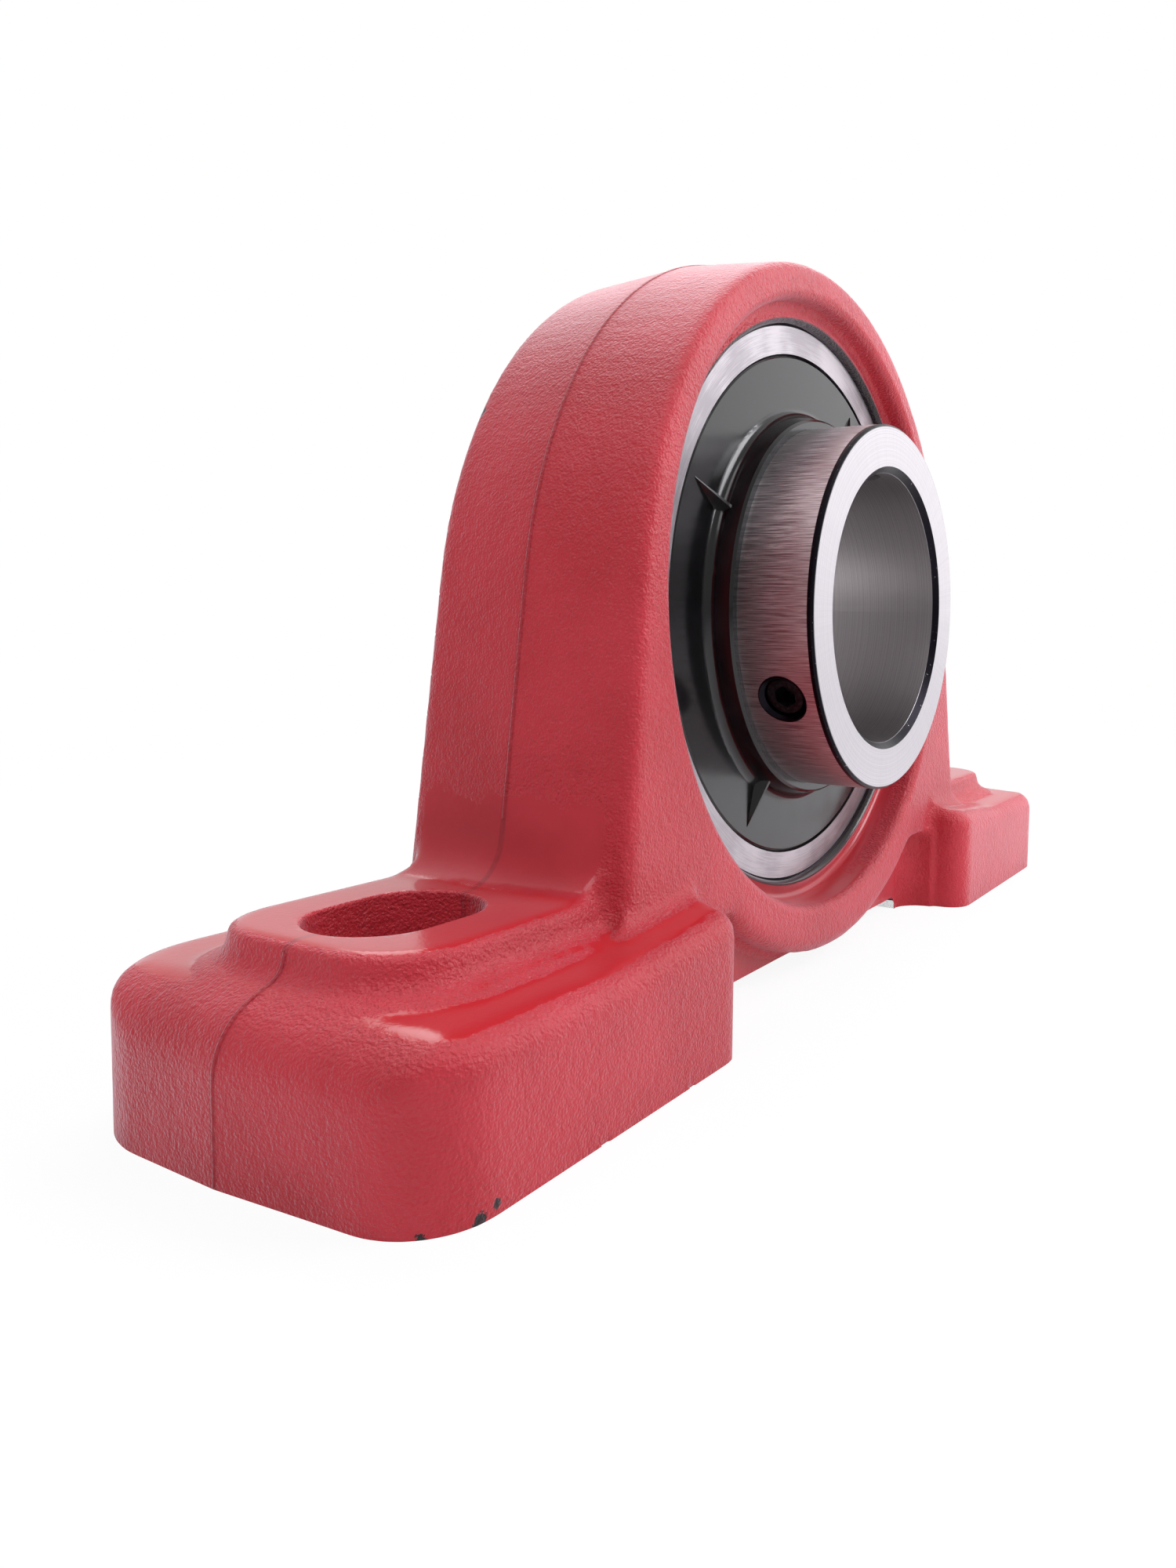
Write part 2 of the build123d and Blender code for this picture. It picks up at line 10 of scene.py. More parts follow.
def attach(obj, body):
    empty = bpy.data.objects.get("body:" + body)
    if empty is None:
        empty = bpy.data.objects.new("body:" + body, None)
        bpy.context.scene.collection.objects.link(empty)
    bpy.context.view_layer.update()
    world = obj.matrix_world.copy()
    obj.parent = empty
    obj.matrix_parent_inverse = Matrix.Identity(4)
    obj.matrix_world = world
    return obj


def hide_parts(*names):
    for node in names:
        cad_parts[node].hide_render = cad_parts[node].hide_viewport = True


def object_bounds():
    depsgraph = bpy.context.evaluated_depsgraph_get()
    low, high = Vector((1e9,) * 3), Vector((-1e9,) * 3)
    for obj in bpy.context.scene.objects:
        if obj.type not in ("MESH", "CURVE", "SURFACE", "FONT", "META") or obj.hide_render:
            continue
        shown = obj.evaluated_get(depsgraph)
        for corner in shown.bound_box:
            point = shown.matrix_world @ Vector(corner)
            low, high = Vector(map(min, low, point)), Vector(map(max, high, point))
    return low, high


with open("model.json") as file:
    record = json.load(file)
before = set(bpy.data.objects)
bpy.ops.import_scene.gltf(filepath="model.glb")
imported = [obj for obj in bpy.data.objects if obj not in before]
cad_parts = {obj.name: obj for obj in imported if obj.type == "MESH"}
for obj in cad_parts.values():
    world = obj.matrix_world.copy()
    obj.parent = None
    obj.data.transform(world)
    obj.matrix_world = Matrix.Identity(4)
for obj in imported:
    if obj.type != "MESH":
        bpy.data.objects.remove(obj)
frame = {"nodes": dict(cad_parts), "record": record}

nodes = frame["nodes"]
mounts = {mount["name"]: mount for mount in frame["record"]["mounts"]}
bpy.context.view_layer.update()
cad_box = [list(corner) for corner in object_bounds()]

# Housing: one casting of grey iron, sand-moulded in two halves that met on the plane y = 0,
# machined in the seat, the slots and under the feet, and sprayed with red alkyd enamel. The
# enamel gives a soft gloss over the grain of the sand, and lies smooth where it has pooled.

# The cast shape and its machined openings, in metres
SHAFT = Vector((0.0, 0.0, mounts["shaft_bore"]["pos_m"][2]))
VOXEL = 0.0020
SKIN = 0.00025
BED_SKIRT = 0.006
HUB_FRONT = 0.0506
HUB_FRONT_LEAN = radians(2.0)
HUB_BACK = 0.0450
HUB_BACK_LEAN = radians(0.6)
HUB_BORE_R = 0.124
HUB_LIP_R = 0.005
HUB_PLUG_R = 0.131
GROOVE_Y = 0.0315
GROOVE_CORNER_R = 0.003
RIDGE_R = 0.1171
RIDGE_Y = 0.0332
RIDGE_PROFILE = ((0.0016, -0.0007), (0.0008, -0.0001), (0.0, 0.0), (-0.0005, -0.0004))
SEAT_R = 0.12005
SEAT_EDGE_Y = 0.0314
NOTCH_R = 0.1212
NOTCH_HALF = 0.0315
NOTCH_DEPTH = 0.06
BOLT_X = mounts["base_bolts"]["dims"]["spacing_x_mm"] / 2000
SLOT_LONG = mounts["base_bolts"]["dims"]["slot_length_mm"] / 1000
SLOT_WIDE = mounts["base_bolts"]["dims"]["hole_r_mm"] * 2 / 1000
SLOT_LIP = 0.0012
SLOT_PLUG_GROW = 0.003
BOSS_TOP = 0.0575
COVE_R = 0.016
COVE_CORNER = Vector((-0.157268, 0, BOSS_TOP))
COVE_ROOT = 0.004
COVE_START = 0.028
COVE_FRONT = 0.0392
COVE_BACK = 0.0372
SIDE_SLOPE = 0.134
ARCH_DRAFT = radians(4.6)
BED_HALF = (0.3, 0.1)
BED_DEPTH = 0.02
NIPPLE_TURN = radians(50)
NIPPLE_Y = 0.019
NIPPLE_TAP_R = 0.0050
NIPPLE_TAP = (0.118, 0.150)
NIPPLE_PAD_TOP = 0.142
TURN_STEPS = 256
CUTTER_PAST = 0.01
CREASE = radians(38)
EDGE_BITES = (
    (Vector((-0.1903, -0.0706, -0.0006)), (0.0042, 0.0026, 0.0034)),
    (Vector((-0.1458, -0.0706, -0.0004)), (0.0036, 0.0025, 0.0030)),
)


def hub_face(z, side):
    """Where a face of the hub stands at a height: both faces lean in as they rise."""
    if side < 0:
        return -(HUB_FRONT - z * tan(HUB_FRONT_LEAN))
    return HUB_BACK - z * tan(HUB_BACK_LEAN)


def placed(name, data):
    """An object in the scene for a mesh, a lamp or a camera."""
    piece = bpy.data.objects.new(name, data)
    bpy.context.scene.collection.objects.link(piece)
    return piece


def stacked(name, rings):
    """A closed solid through rings of as many points each, with a flat cap on both ends."""
    count = len(rings[0])
    points = [tuple(p) for ring in rings for p in ring]
    faces = [tuple(range(count)), tuple(range(len(points) - count, len(points)))]
    for row in range(len(rings) - 1):
        for k in range(count):
            n = (k + 1) % count
            low, high = row * count, (row + 1) * count
            faces.append((low + k, low + n, high + n, high + k))
    mesh = bpy.data.meshes.new(name)
    mesh.from_pydata(points, [], faces)
    made = bmesh.new()
    made.from_mesh(mesh)
    bmesh.ops.recalc_face_normals(made, faces=made.faces)
    made.to_mesh(mesh)
    made.free()
    return placed(name, mesh)


def about(radius, y, turn):
    """A point at a radius and an angle about the shaft."""
    return Vector((radius * cos(turn), y, SHAFT.z + radius * sin(turn)))


def hub_ring(radius, y, side=0):
    """A circle about the shaft at y, which is counted from a leaning face where side says so."""
    ring = []
    for k in range(TURN_STEPS):
        turn = 2 * pi * k / TURN_STEPS
        shift = hub_face(SHAFT.z + radius * sin(turn), side) if side else 0.0
        ring.append(about(radius, y + shift, turn))
    return ring


def mouth(side):
    """Rings of the hub opening on one side: rounded lip, hollow corner, ridge, edge of the seat."""
    rings = [hub_ring(HUB_BORE_R + HUB_LIP_R, side * CUTTER_PAST, side)]
    for k in range(7):
        a = pi / 2 * (1 - k / 6)
        rings.append(hub_ring(HUB_BORE_R + HUB_LIP_R * (1 - cos(a)), -side * HUB_LIP_R * (1 - sin(a)), side))
    for k in range(5):
        a = pi / 2 * k / 4
        rings.append(hub_ring(HUB_BORE_R - GROOVE_CORNER_R * (1 - cos(a)),
                              side * (GROOVE_Y + GROOVE_CORNER_R * (1 - sin(a)))))
    for radius, y in RIDGE_PROFILE:
        rings.append(hub_ring(RIDGE_R + radius, side * (RIDGE_Y + y)))
    rings.append(hub_ring(sqrt(SEAT_R ** 2 - SEAT_EDGE_Y ** 2), side * SEAT_EDGE_Y))
    return rings


def hub_opening():
    """The way through the hub, with the ball-shaped seat in its middle."""
    seat = []
    for k in range(1, 12):
        y = SEAT_EDGE_Y * (k / 6 - 1)
        seat.append(hub_ring(sqrt(SEAT_R ** 2 - y ** 2), y))
    return stacked("hub_opening", mouth(-1) + seat + mouth(1)[::-1])


def loading_notch():
    """The cross way by which the insert goes in from the back."""
    edge = atan2(NOTCH_HALF, sqrt(NOTCH_R ** 2 - NOTCH_HALF ** 2))
    turns = [edge * (k / 6 - 1) for k in range(13)]
    turns += [pi + t for t in turns]
    return stacked("loading_notch", [[about(NOTCH_R, y, t) for t in turns] for y in (0.0, NOTCH_DEPTH)])


def stadium(x, z, grow):
    """Outline of a bolt slot at a height, grown outwards by a distance."""
    ring = []
    run = (SLOT_LONG - SLOT_WIDE) / 2
    radius = SLOT_WIDE / 2 + grow
    for k in range(64):
        turn = 2 * pi * (k + 0.5) / 64
        end = run if cos(turn) > 0 else -run
        ring.append(Vector((x + end + radius * cos(turn), radius * sin(turn), z)))
    return ring


def bolt_slot(x):
    """A bolt slot through a foot, with a rounded upper edge."""
    top = BOSS_TOP - SKIN
    rings = [stadium(x, -CUTTER_PAST, 0), stadium(x, top - SLOT_LIP, 0)]
    for k in range(1, 6):
        a = pi / 2 * k / 5
        rings.append(stadium(x, top - SLOT_LIP * (1 - sin(a)), SLOT_LIP * (1 - cos(a))))
    rings.append(stadium(x, top + CUTTER_PAST, SLOT_LIP))
    return stacked("bolt_slot", rings)


def radial_rod(name, radius, low, high):
    """A rod that points away from the shaft through the grease nipple."""
    out = Vector((cos(NIPPLE_TURN), 0, sin(NIPPLE_TURN)))
    side = Vector((0, 1, 0))
    other = out.cross(side)
    foot = SHAFT + side * NIPPLE_Y
    rings = []
    for reach in (low, high):
        rings.append([foot + out * reach + (side * cos(t) + other * sin(t)) * radius
                      for t in (2 * pi * k / 32 for k in range(32))])
    return stacked(name, rings)


def edge_bite(place, half):
    """A rough lump that takes a nick out of a lower edge."""
    made = bmesh.new()
    bmesh.ops.create_icosphere(made, subdivisions=3, radius=1.0)
    for v in made.verts:
        rough = 1 + 0.18 * sin(7 * v.co.x + 3 * v.co.z) * cos(5 * v.co.y + 2 * v.co.x)
        v.co = place + Vector([c * h * rough for c, h in zip(v.co, half)])
    mesh = bpy.data.meshes.new("edge_bite")
    made.to_mesh(mesh)
    made.free()
    return placed("edge_bite", mesh)


def cove_end(end, side, reach):
    """Carry the hollow corner between arch and boss on to the width of the boss."""
    up = Vector((SIDE_SLOPE, 0, 1)).normalized()
    out = Vector((-1, 0, 0))
    inward = (up + out).normalized()
    half = up.angle(out) / 2
    centre = COVE_CORNER + inward * (COVE_R / sin(half))
    first = COVE_CORNER + up * (COVE_R / tan(half)) - centre
    last = COVE_CORNER + out * (COVE_R / tan(half)) - centre
    profile = [COVE_CORNER - inward * COVE_ROOT]
    profile += [centre + first.lerp(last, k / 10).normalized() * COVE_R for k in range(11)]
    rings = []
    for depth in (COVE_START, reach):
        shift = depth * tan(ARCH_DRAFT)
        rings.append([Vector((-end * (p.x + shift), side * depth, p.z)) for p in profile])
    return stacked("cove_end", rings)


def bed_cut():
    """What lies under the bed of the planer that faced the feet."""
    corners = [(x * BED_HALF[0], y * BED_HALF[1]) for x, y in ((-1, -1), (1, -1), (1, 1), (-1, 1))]
    return stacked("bed_cut", [[Vector((x, y, z)) for x, y in corners] for z in (-BED_DEPTH, 0.0)])


def settled(piece):
    """The mesh of a piece as its modifiers leave it."""
    graph = bpy.context.evaluated_depsgraph_get()
    return bpy.data.meshes.new_from_object(piece.evaluated_get(graph), depsgraph=graph)


def drop(pieces):
    """Take helper pieces and their meshes out of the scene."""
    for piece in pieces:
        mesh = piece.data
        bpy.data.objects.remove(piece)
        bpy.data.meshes.remove(mesh)


def filled_casting():
    """The CAD housing with its holes filled, its corners made up and its underside carried down."""
    plugs = [
        stacked("hub_plug", [hub_ring(HUB_PLUG_R, 0, -1), hub_ring(HUB_PLUG_R, 0, 1)]),
        stacked("near_plug", [stadium(-BOLT_X, z, SLOT_PLUG_GROW) for z in (0, BOSS_TOP)]),
        stacked("far_plug", [stadium(BOLT_X, z, SLOT_PLUG_GROW) for z in (0, BOSS_TOP)]),
        radial_rod("tap_plug", NIPPLE_TAP_R + 0.001, HUB_PLUG_R - 0.006, NIPPLE_PAD_TOP - 0.0001),
    ]
    for end in (-1, 1):
        plugs += [cove_end(end, -1, COVE_FRONT), cove_end(end, 1, COVE_BACK)]
    made = bmesh.new()
    made.from_mesh(nodes["housing"].data)
    bmesh.ops.remove_doubles(made, verts=made.verts, dist=1e-6)
    under = [f for f in made.faces if all(v.co.z < 1e-5 for v in f.verts)]
    grown = bmesh.ops.extrude_face_region(made, geom=under)["geom"]
    moved = [v for v in grown if isinstance(v, bmesh.types.BMVert)]
    bmesh.ops.translate(made, verts=moved, vec=(0, 0, -BED_SKIRT))
    for plug in plugs:
        made.from_mesh(plug.data)
    mesh = bpy.data.meshes.new("casting")
    made.to_mesh(mesh)
    made.free()
    drop(plugs)
    return placed("casting", mesh)


def raw_casting():
    """The housing before machining: every corner blended as sand leaves it, one skin smaller."""
    piece = filled_casting()
    remesh = piece.modifiers.new("sand_mould", "REMESH")
    remesh.mode = "VOXEL"
    remesh.voxel_size = VOXEL
    blend = piece.modifiers.new("fettling", "SMOOTH")
    blend.factor = 0.5
    blend.iterations = 2
    rough = settled(piece)
    drop([piece])
    normals = [v.normal.copy() for v in rough.vertices]
    for v, normal in zip(rough.vertices, normals):
        v.co -= normal * SKIN
    return rough


def machined(rough):
    """Cut the underside, the opening, the slots, the tapping and the nicks out of the raw casting."""
    piece = placed("housing_casting", rough)
    tools = [bed_cut(), hub_opening(), loading_notch(), bolt_slot(-BOLT_X), bolt_slot(BOLT_X)]
    tools.append(radial_rod("tap_hole", NIPPLE_TAP_R, *NIPPLE_TAP))
    tools += [edge_bite(place, half) for place, half in EDGE_BITES]
    for tool in tools:
        cut = piece.modifiers.new(tool.name, "BOOLEAN")
        cut.operation = "DIFFERENCE"
        cut.solver = "MANIFOLD"
        cut.object = tool
    mesh = settled(piece)
    piece.modifiers.clear()
    piece.data = mesh
    mesh.name = "housing_casting"
    drop(tools)
    mesh.shade_smooth()
    mesh.set_sharp_from_angle(angle=CREASE)
    return piece


# The enamel, in millimetres but for SAND_DEPTH, which is in metres. Moulding sand has grains of
# 0.3 mm, too fine to show in a render, so they are drawn at 0.9 mm. A pair of numbers is where a
# zone starts and where it is full.
PAINT_MID = "B32430"
PAINT_DEEP = "BA1820"
PAINT_PALE = "BF2E3B"
PAINT_SHEEN = "F4E6F2"
# Bare iron for the chips; the same near-black colour also stands as painted shade in the gap at the seat.
BARE_IRON_AND_GAP_SHADE = "241A1C"
# Painted shade along the parting line: a darker red either side of y = 0.
SEAM_SHADE = "7C1820"
SAND_GRAIN = 0.9
SAND_LUMP = 2.6
SAND_DEPTH = 0.0006
SPRAY_CLOUD = 45.0
PAINT_RUN = 6.0
DRIP_EDGE = 9.0
DRIP_REACH = 20.0
POOL_RAGGED = 0.16
POOL_LEVEL = (0.98, 1.06)
POOL_Z = (76.0, 70.0)
THICK_Z = (99.0, 91.0)
THICK_X = (168.0, 164.0)
THICK_Y = (40.0, 36.0)
# Radii inside which the seat is drawn as bare iron and painted shade.
BARE_SEAT_SHADE_R = (118.0, 117.6)
SEAM_R = (134.0, 136.0)
SEAM_Y = (1.5, 0.7)
CHIP_EDGE = 1.6
CHIP_CORE = 0.62
CHIP_RIM = (0.92, 0.97)
CHIP_SPOTS = (
    ((-239.4, -67.9, 0.8), 5.2),
    ((-251.5, -61.1, 0.3), 3.6),
    ((-234.0, -68.6, 3.0), 3.6),
    ((-120.7, 40.0, 216.6), 6.0),
)
EASED = {"interpolation_type": "SMOOTHSTEP"}


def linear(code):
    """An sRGB hex colour as linear RGBA."""
    parts = [int(code[i:i + 2], 16) / 255 for i in (0, 2, 4)]
    parts = [c / 12.92 if c <= 0.04045 else ((c + 0.055) / 1.055) ** 2.4 for c in parts]
    return (*parts, 1.0)


def feed(tree, node, feeds):
    """Give inputs their values, or link them to sockets or to the first live output of nodes."""
    for name, value in feeds.items():
        if isinstance(value, bpy.types.Node):
            value = next(socket for socket in value.outputs if socket.enabled)
        if isinstance(value, bpy.types.NodeSocket):
            tree.links.new(value, node.inputs[name])
        else:
            node.inputs[name].default_value = value


def add(tree, kind, feeds=None, **settings):
    """Add a node: settings are its properties, feeds its inputs."""
    made = tree.nodes.new(kind)
    for name, value in settings.items():
        setattr(made, name, value)
    feed(tree, made, feeds or {})
    return made


def new_material(name):
    """A node material with its Principled BSDF, and Object coordinates counted in millimetres."""
    material = bpy.data.materials.new(name)
    material.use_nodes = True
    tree = material.node_tree
    metres = add(tree, "ShaderNodeTexCoord").outputs["Object"]
    place = add(tree, "ShaderNodeVectorMath", {0: metres, "Scale": 1000.0}, operation="SCALE")
    return material, tree, tree.nodes["Principled BSDF"], place


def about_shaft(tree, place):
    """Radius from the shaft axis, place along it and angle about it."""
    axes = add(tree, "ShaderNodeSeparateXYZ", {0: place})
    height = add(tree, "ShaderNodeMath", {0: axes.outputs["Z"], 1: SHAFT.z * 1000}, operation="SUBTRACT")
    flat = add(tree, "ShaderNodeCombineXYZ", {"X": axes.outputs["X"], "Z": height})
    radius = add(tree, "ShaderNodeVectorMath", {0: flat}, operation="LENGTH")
    turn = add(tree, "ShaderNodeMath", {0: height, 1: axes.outputs["X"]}, operation="ARCTAN2")
    return radius, axes.outputs["Y"], turn


def thick_enamel(tree, place):
    """Where the enamel has pooled on the level tops of the feet, and where it lies smooth in all."""
    axes = add(tree, "ShaderNodeSeparateXYZ", {0: place})
    normal = add(tree, "ShaderNodeTexCoord").outputs["Normal"]
    upward = add(tree, "ShaderNodeSeparateXYZ", {0: normal}).outputs["Z"]
    runs = add(tree, "ShaderNodeTexNoise",
               {"Vector": place, "Scale": 1 / PAINT_RUN, "Detail": 4.0, "Roughness": 0.6})
    level = add(tree, "ShaderNodeMath", {0: runs, 1: POOL_RAGGED, 2: upward}, operation="MULTIPLY_ADD")
    level = add(tree, "ShaderNodeMapRange", {0: level, 1: POOL_LEVEL[0], 2: POOL_LEVEL[1]}, **EASED)
    feet = add(tree, "ShaderNodeMapRange", {0: axes.outputs["Z"], 1: POOL_Z[0], 2: POOL_Z[1]}, **EASED)
    pooled = add(tree, "ShaderNodeMath", {0: level, 1: feet}, operation="MULTIPLY")
    drips = add(tree, "ShaderNodeTexNoise",
                {"Vector": place, "Scale": 1 / DRIP_EDGE, "Detail": 4.0, "Roughness": 0.6})
    ragged = add(tree, "ShaderNodeMath", {0: drips, 1: DRIP_REACH, 2: axes.outputs["Z"]},
                 operation="MULTIPLY_ADD")
    corners = add(tree, "ShaderNodeMapRange", {0: ragged, 1: THICK_Z[0], 2: THICK_Z[1]}, **EASED)
    for axis, (start, full) in (("X", THICK_X), ("Y", THICK_Y)):
        away = add(tree, "ShaderNodeMath", {0: axes.outputs[axis]}, operation="ABSOLUTE")
        inside = add(tree, "ShaderNodeMapRange", {0: away, 1: start, 2: full}, **EASED)
        corners = add(tree, "ShaderNodeMath", {0: corners, 1: inside}, operation="MULTIPLY")
    smooth = add(tree, "ShaderNodeMath", {0: pooled, 1: corners}, operation="MAXIMUM")
    return pooled, smooth


def enamel_wear_and_painted_shade(tree, place, colour):
    """Chips down to the iron, the bare oiled seat with painted shade in its gap, and painted shade along the
    parting line.
    """
    ragged = add(tree, "ShaderNodeTexNoise",
                 {"Vector": place, "Scale": 1 / CHIP_EDGE, "Detail": 5.0, "Roughness": 0.7})
    for spot, reach in CHIP_SPOTS:
        away = add(tree, "ShaderNodeVectorMath", {0: place, 1: spot}, operation="DISTANCE")
        near = add(tree, "ShaderNodeMapRange", {0: away, 1: 0.0, 2: reach, 3: CHIP_CORE, 4: 0.0}, **EASED)
        both = add(tree, "ShaderNodeMath", {0: near, 1: ragged}, operation="ADD")
        chip = add(tree, "ShaderNodeMapRange", {0: both, 1: CHIP_RIM[0], 2: CHIP_RIM[1]}, **EASED)
        colour = add(tree, "ShaderNodeMix", {0: chip, 6: colour, 7: linear(BARE_IRON_AND_GAP_SHADE)}, data_type="RGBA")
    radius, along, turn = about_shaft(tree, place)
    # The seat and its throat by the outer ring: bare oiled iron, drawn near-black as painted shade in the
    # gap.
    seat = add(tree, "ShaderNodeMapRange", {0: radius, 1: BARE_SEAT_SHADE_R[0], 2: BARE_SEAT_SHADE_R[1]}, **EASED)
    colour = add(tree, "ShaderNodeMix", {0: seat, 6: colour, 7: linear(BARE_IRON_AND_GAP_SHADE)}, data_type="RGBA")
    # A darker band along the parting line, in patches: painted shade.
    off_seam = add(tree, "ShaderNodeMath", {0: along}, operation="ABSOLUTE")
    line = add(tree, "ShaderNodeMapRange", {0: off_seam, 1: SEAM_Y[0], 2: SEAM_Y[1]}, **EASED)
    patchy = add(tree, "ShaderNodeMapRange", {0: ragged, 1: 0.3, 2: 0.6, 3: 0.2, 4: 0.5}, **EASED)
    outside = add(tree, "ShaderNodeMapRange", {0: radius, 1: SEAM_R[0], 2: SEAM_R[1]}, **EASED)
    seam_shade = add(tree, "ShaderNodeMath", {0: line, 1: patchy}, operation="MULTIPLY")
    seam_shade = add(tree, "ShaderNodeMath", {0: seam_shade, 1: outside}, operation="MULTIPLY")
    return add(tree, "ShaderNodeMix", {0: seam_shade, 6: colour, 7: linear(SEAM_SHADE)}, data_type="RGBA")


def enamel_on_cast_iron():
    """Red enamel, mottled by the spray gun, over the grain of sand-cast iron."""
    material, tree, shader, place = new_material("red_alkyd_enamel_on_sand_cast_iron")
    pooled, smooth = thick_enamel(tree, place)
    clouds = add(tree, "ShaderNodeTexNoise", {"Vector": place, "Scale": 1 / SPRAY_CLOUD, "Detail": 4.0})
    clouds = add(tree, "ShaderNodeMapRange", {0: clouds, 1: 0.35, 2: 0.65}, **EASED)
    colour = add(tree, "ShaderNodeMix", {0: clouds, 6: linear(PAINT_MID), 7: linear(PAINT_PALE)},
                 data_type="RGBA")
    colour = add(tree, "ShaderNodeMix", {0: pooled, 6: colour, 7: linear(PAINT_DEEP)}, data_type="RGBA")
    colour = enamel_wear_and_painted_shade(tree, place, colour)
    grain = add(tree, "ShaderNodeTexNoise",
                {"Vector": place, "Scale": 1 / SAND_GRAIN, "Detail": 2.0, "Roughness": 0.45})
    lumps = add(tree, "ShaderNodeTexNoise", {"Vector": place, "Scale": 1 / SAND_LUMP, "Detail": 2.0})
    height = add(tree, "ShaderNodeMath", {0: lumps, 1: 0.9, 2: grain}, operation="MULTIPLY_ADD")
    strength = add(tree, "ShaderNodeMapRange", {0: smooth, 3: 1.0, 4: 0.07}, **EASED)
    roughness = add(tree, "ShaderNodeMapRange", {0: smooth, 3: 0.40, 4: 0.17}, **EASED)
    bump = add(tree, "ShaderNodeBump", {"Height": height, "Strength": strength, "Distance": SAND_DEPTH})
    feed(tree, shader, {
        "Base Color": colour, "Roughness": roughness, "IOR": 1.5, "Specular IOR Level": 0.35,
        "Sheen Weight": 0.50, "Sheen Roughness": 0.34, "Sheen Tint": linear(PAINT_SHEEN),
        "Normal": bump,
    })
    return material


def dress(node, material):
    """Give a carried-over CAD node its material."""
    for holder in nodes[node].material_slots:
        holder.material = material


paint = enamel_on_cast_iron()
dress("housing", paint)
casting = machined(raw_casting())
casting.data.materials.clear()
casting.data.materials.append(paint)
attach(casting, "housing_body")
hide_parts("housing")

# Parting flash: the low bead of iron that ran between the halves of the sand mould. It was
# ground nearly flush before painting, and follows the casting up each foot and over the arch.
FLASH_R = 0.00080
FLASH_SINK = 0.00035
FLASH_STEP = 0.0015
FLASH_WANDER = 180.0
RAY_START = 0.3
FOOT_HEIGHTS = [0.0006 + 0.0016 * k for k in range(24)]
FOOT_SHOULDER = Vector((0.222, 0, 0.037))
FOOT_SHOULDER_OUT = 0.08
FOOT_SHOULDER_TURNS = [radians(50) * k / 24 for k in range(1, 24)]
ARCH_HEIGHTS = [0.078 + 0.002 * k for k in range(36)]
ARCH_TURNS = [pi / 2 * k / 60 for k in range(61)]


def outer_point(tree, start, inward):
    """Where a line that comes in from outside meets the casting, sunk a little into it."""
    spot = tree.ray_cast(start, inward)[0] + inward * FLASH_SINK
    spot.x = min(max(spot.x, cad_box[0][0] + FLASH_R), cad_box[1][0] - FLASH_R)
    spot.z = min(max(spot.z, FLASH_R), cad_box[1][2] - FLASH_R)
    return spot


def flash_paths(end):
    """Paths of the parting line at one end: up the foot, and up half of the arch."""
    tree = BVHTree.FromObject(casting, bpy.context.evaluated_depsgraph_get())
    level = Vector((-end, 0, 0))
    foot = [outer_point(tree, Vector((end * RAY_START, 0, z)), level) for z in FOOT_HEIGHTS]
    for turn in FOOT_SHOULDER_TURNS:
        inward = Vector((-end * cos(turn), 0, -sin(turn)))
        middle = Vector((end * FOOT_SHOULDER.x, 0, FOOT_SHOULDER.z))
        foot.append(outer_point(tree, middle - inward * FOOT_SHOULDER_OUT, inward))
    arch = [outer_point(tree, Vector((end * RAY_START, 0, z)), level) for z in ARCH_HEIGHTS]
    for turn in ARCH_TURNS:
        inward = Vector((-end * cos(turn), 0, -sin(turn)))
        arch.append(outer_point(tree, SHAFT - inward * RAY_START, inward))
    return foot, arch


def flash_tree():
    """Geometry Nodes: a thin bead of uneven thickness along a path, with its radius as an input."""
    tree = bpy.data.node_groups.new("parting_flash", "GeometryNodeTree")
    tree.interface.new_socket("Geometry", in_out="INPUT", socket_type="NodeSocketGeometry")
    radius = tree.interface.new_socket("Bead Radius", in_out="INPUT", socket_type="NodeSocketFloat")
    tree.interface.new_socket("Geometry", in_out="OUTPUT", socket_type="NodeSocketGeometry")
    given = add(tree, "NodeGroupInput")
    path = add(tree, "GeometryNodeMeshToCurve", {"Mesh": given.outputs["Geometry"]})
    even = add(tree, "GeometryNodeResampleCurve", {"Curve": path, "Length": FLASH_STEP}, mode="LENGTH")
    where = add(tree, "GeometryNodeInputPosition")
    wander = add(tree, "ShaderNodeTexNoise", {"Vector": where, "Scale": FLASH_WANDER})
    thick = add(tree, "ShaderNodeMapRange", {0: wander, 1: 0.3, 2: 0.7, 3: 0.75, 4: 1.0})
    wire = add(tree, "GeometryNodeSetCurveRadius", {"Curve": even, "Radius": thick})
    ring = add(tree, "GeometryNodeCurvePrimitiveCircle",
               {"Resolution": 8, "Radius": given.outputs["Bead Radius"]})
    bead = add(tree, "GeometryNodeCurveToMesh", {"Curve": wire, "Profile Curve": ring, "Fill Caps": True})
    real = add(tree, "GeometryNodeRealizeInstances", {"Geometry": bead})
    painted = add(tree, "GeometryNodeSetMaterial", {"Geometry": real, "Material": paint})
    add(tree, "NodeGroupOutput", {"Geometry": painted})
    return tree, radius.identifier


def parting_flash():
    """Both ends' paths swept into one painted bead."""
    points, edges = [], []
    for end in (-1, 1):
        for path in flash_paths(end):
            first = len(points)
            points += [tuple(p) for p in path]
            edges += [(first + k, first + k + 1) for k in range(len(path) - 1)]
    mesh = bpy.data.meshes.new("parting_flash")
    mesh.from_pydata(points, edges, [])
    piece = placed("parting_flash", mesh)
    tree, radius = flash_tree()
    sweep = piece.modifiers.new("bead", "NODES")
    sweep.node_group = tree
    sweep[radius] = FLASH_R
    mesh = settled(piece)
    piece.modifiers.clear()
    piece.data = mesh
    mesh.shade_smooth()
    return piece


flash = parting_flash()
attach(flash, "housing_body")

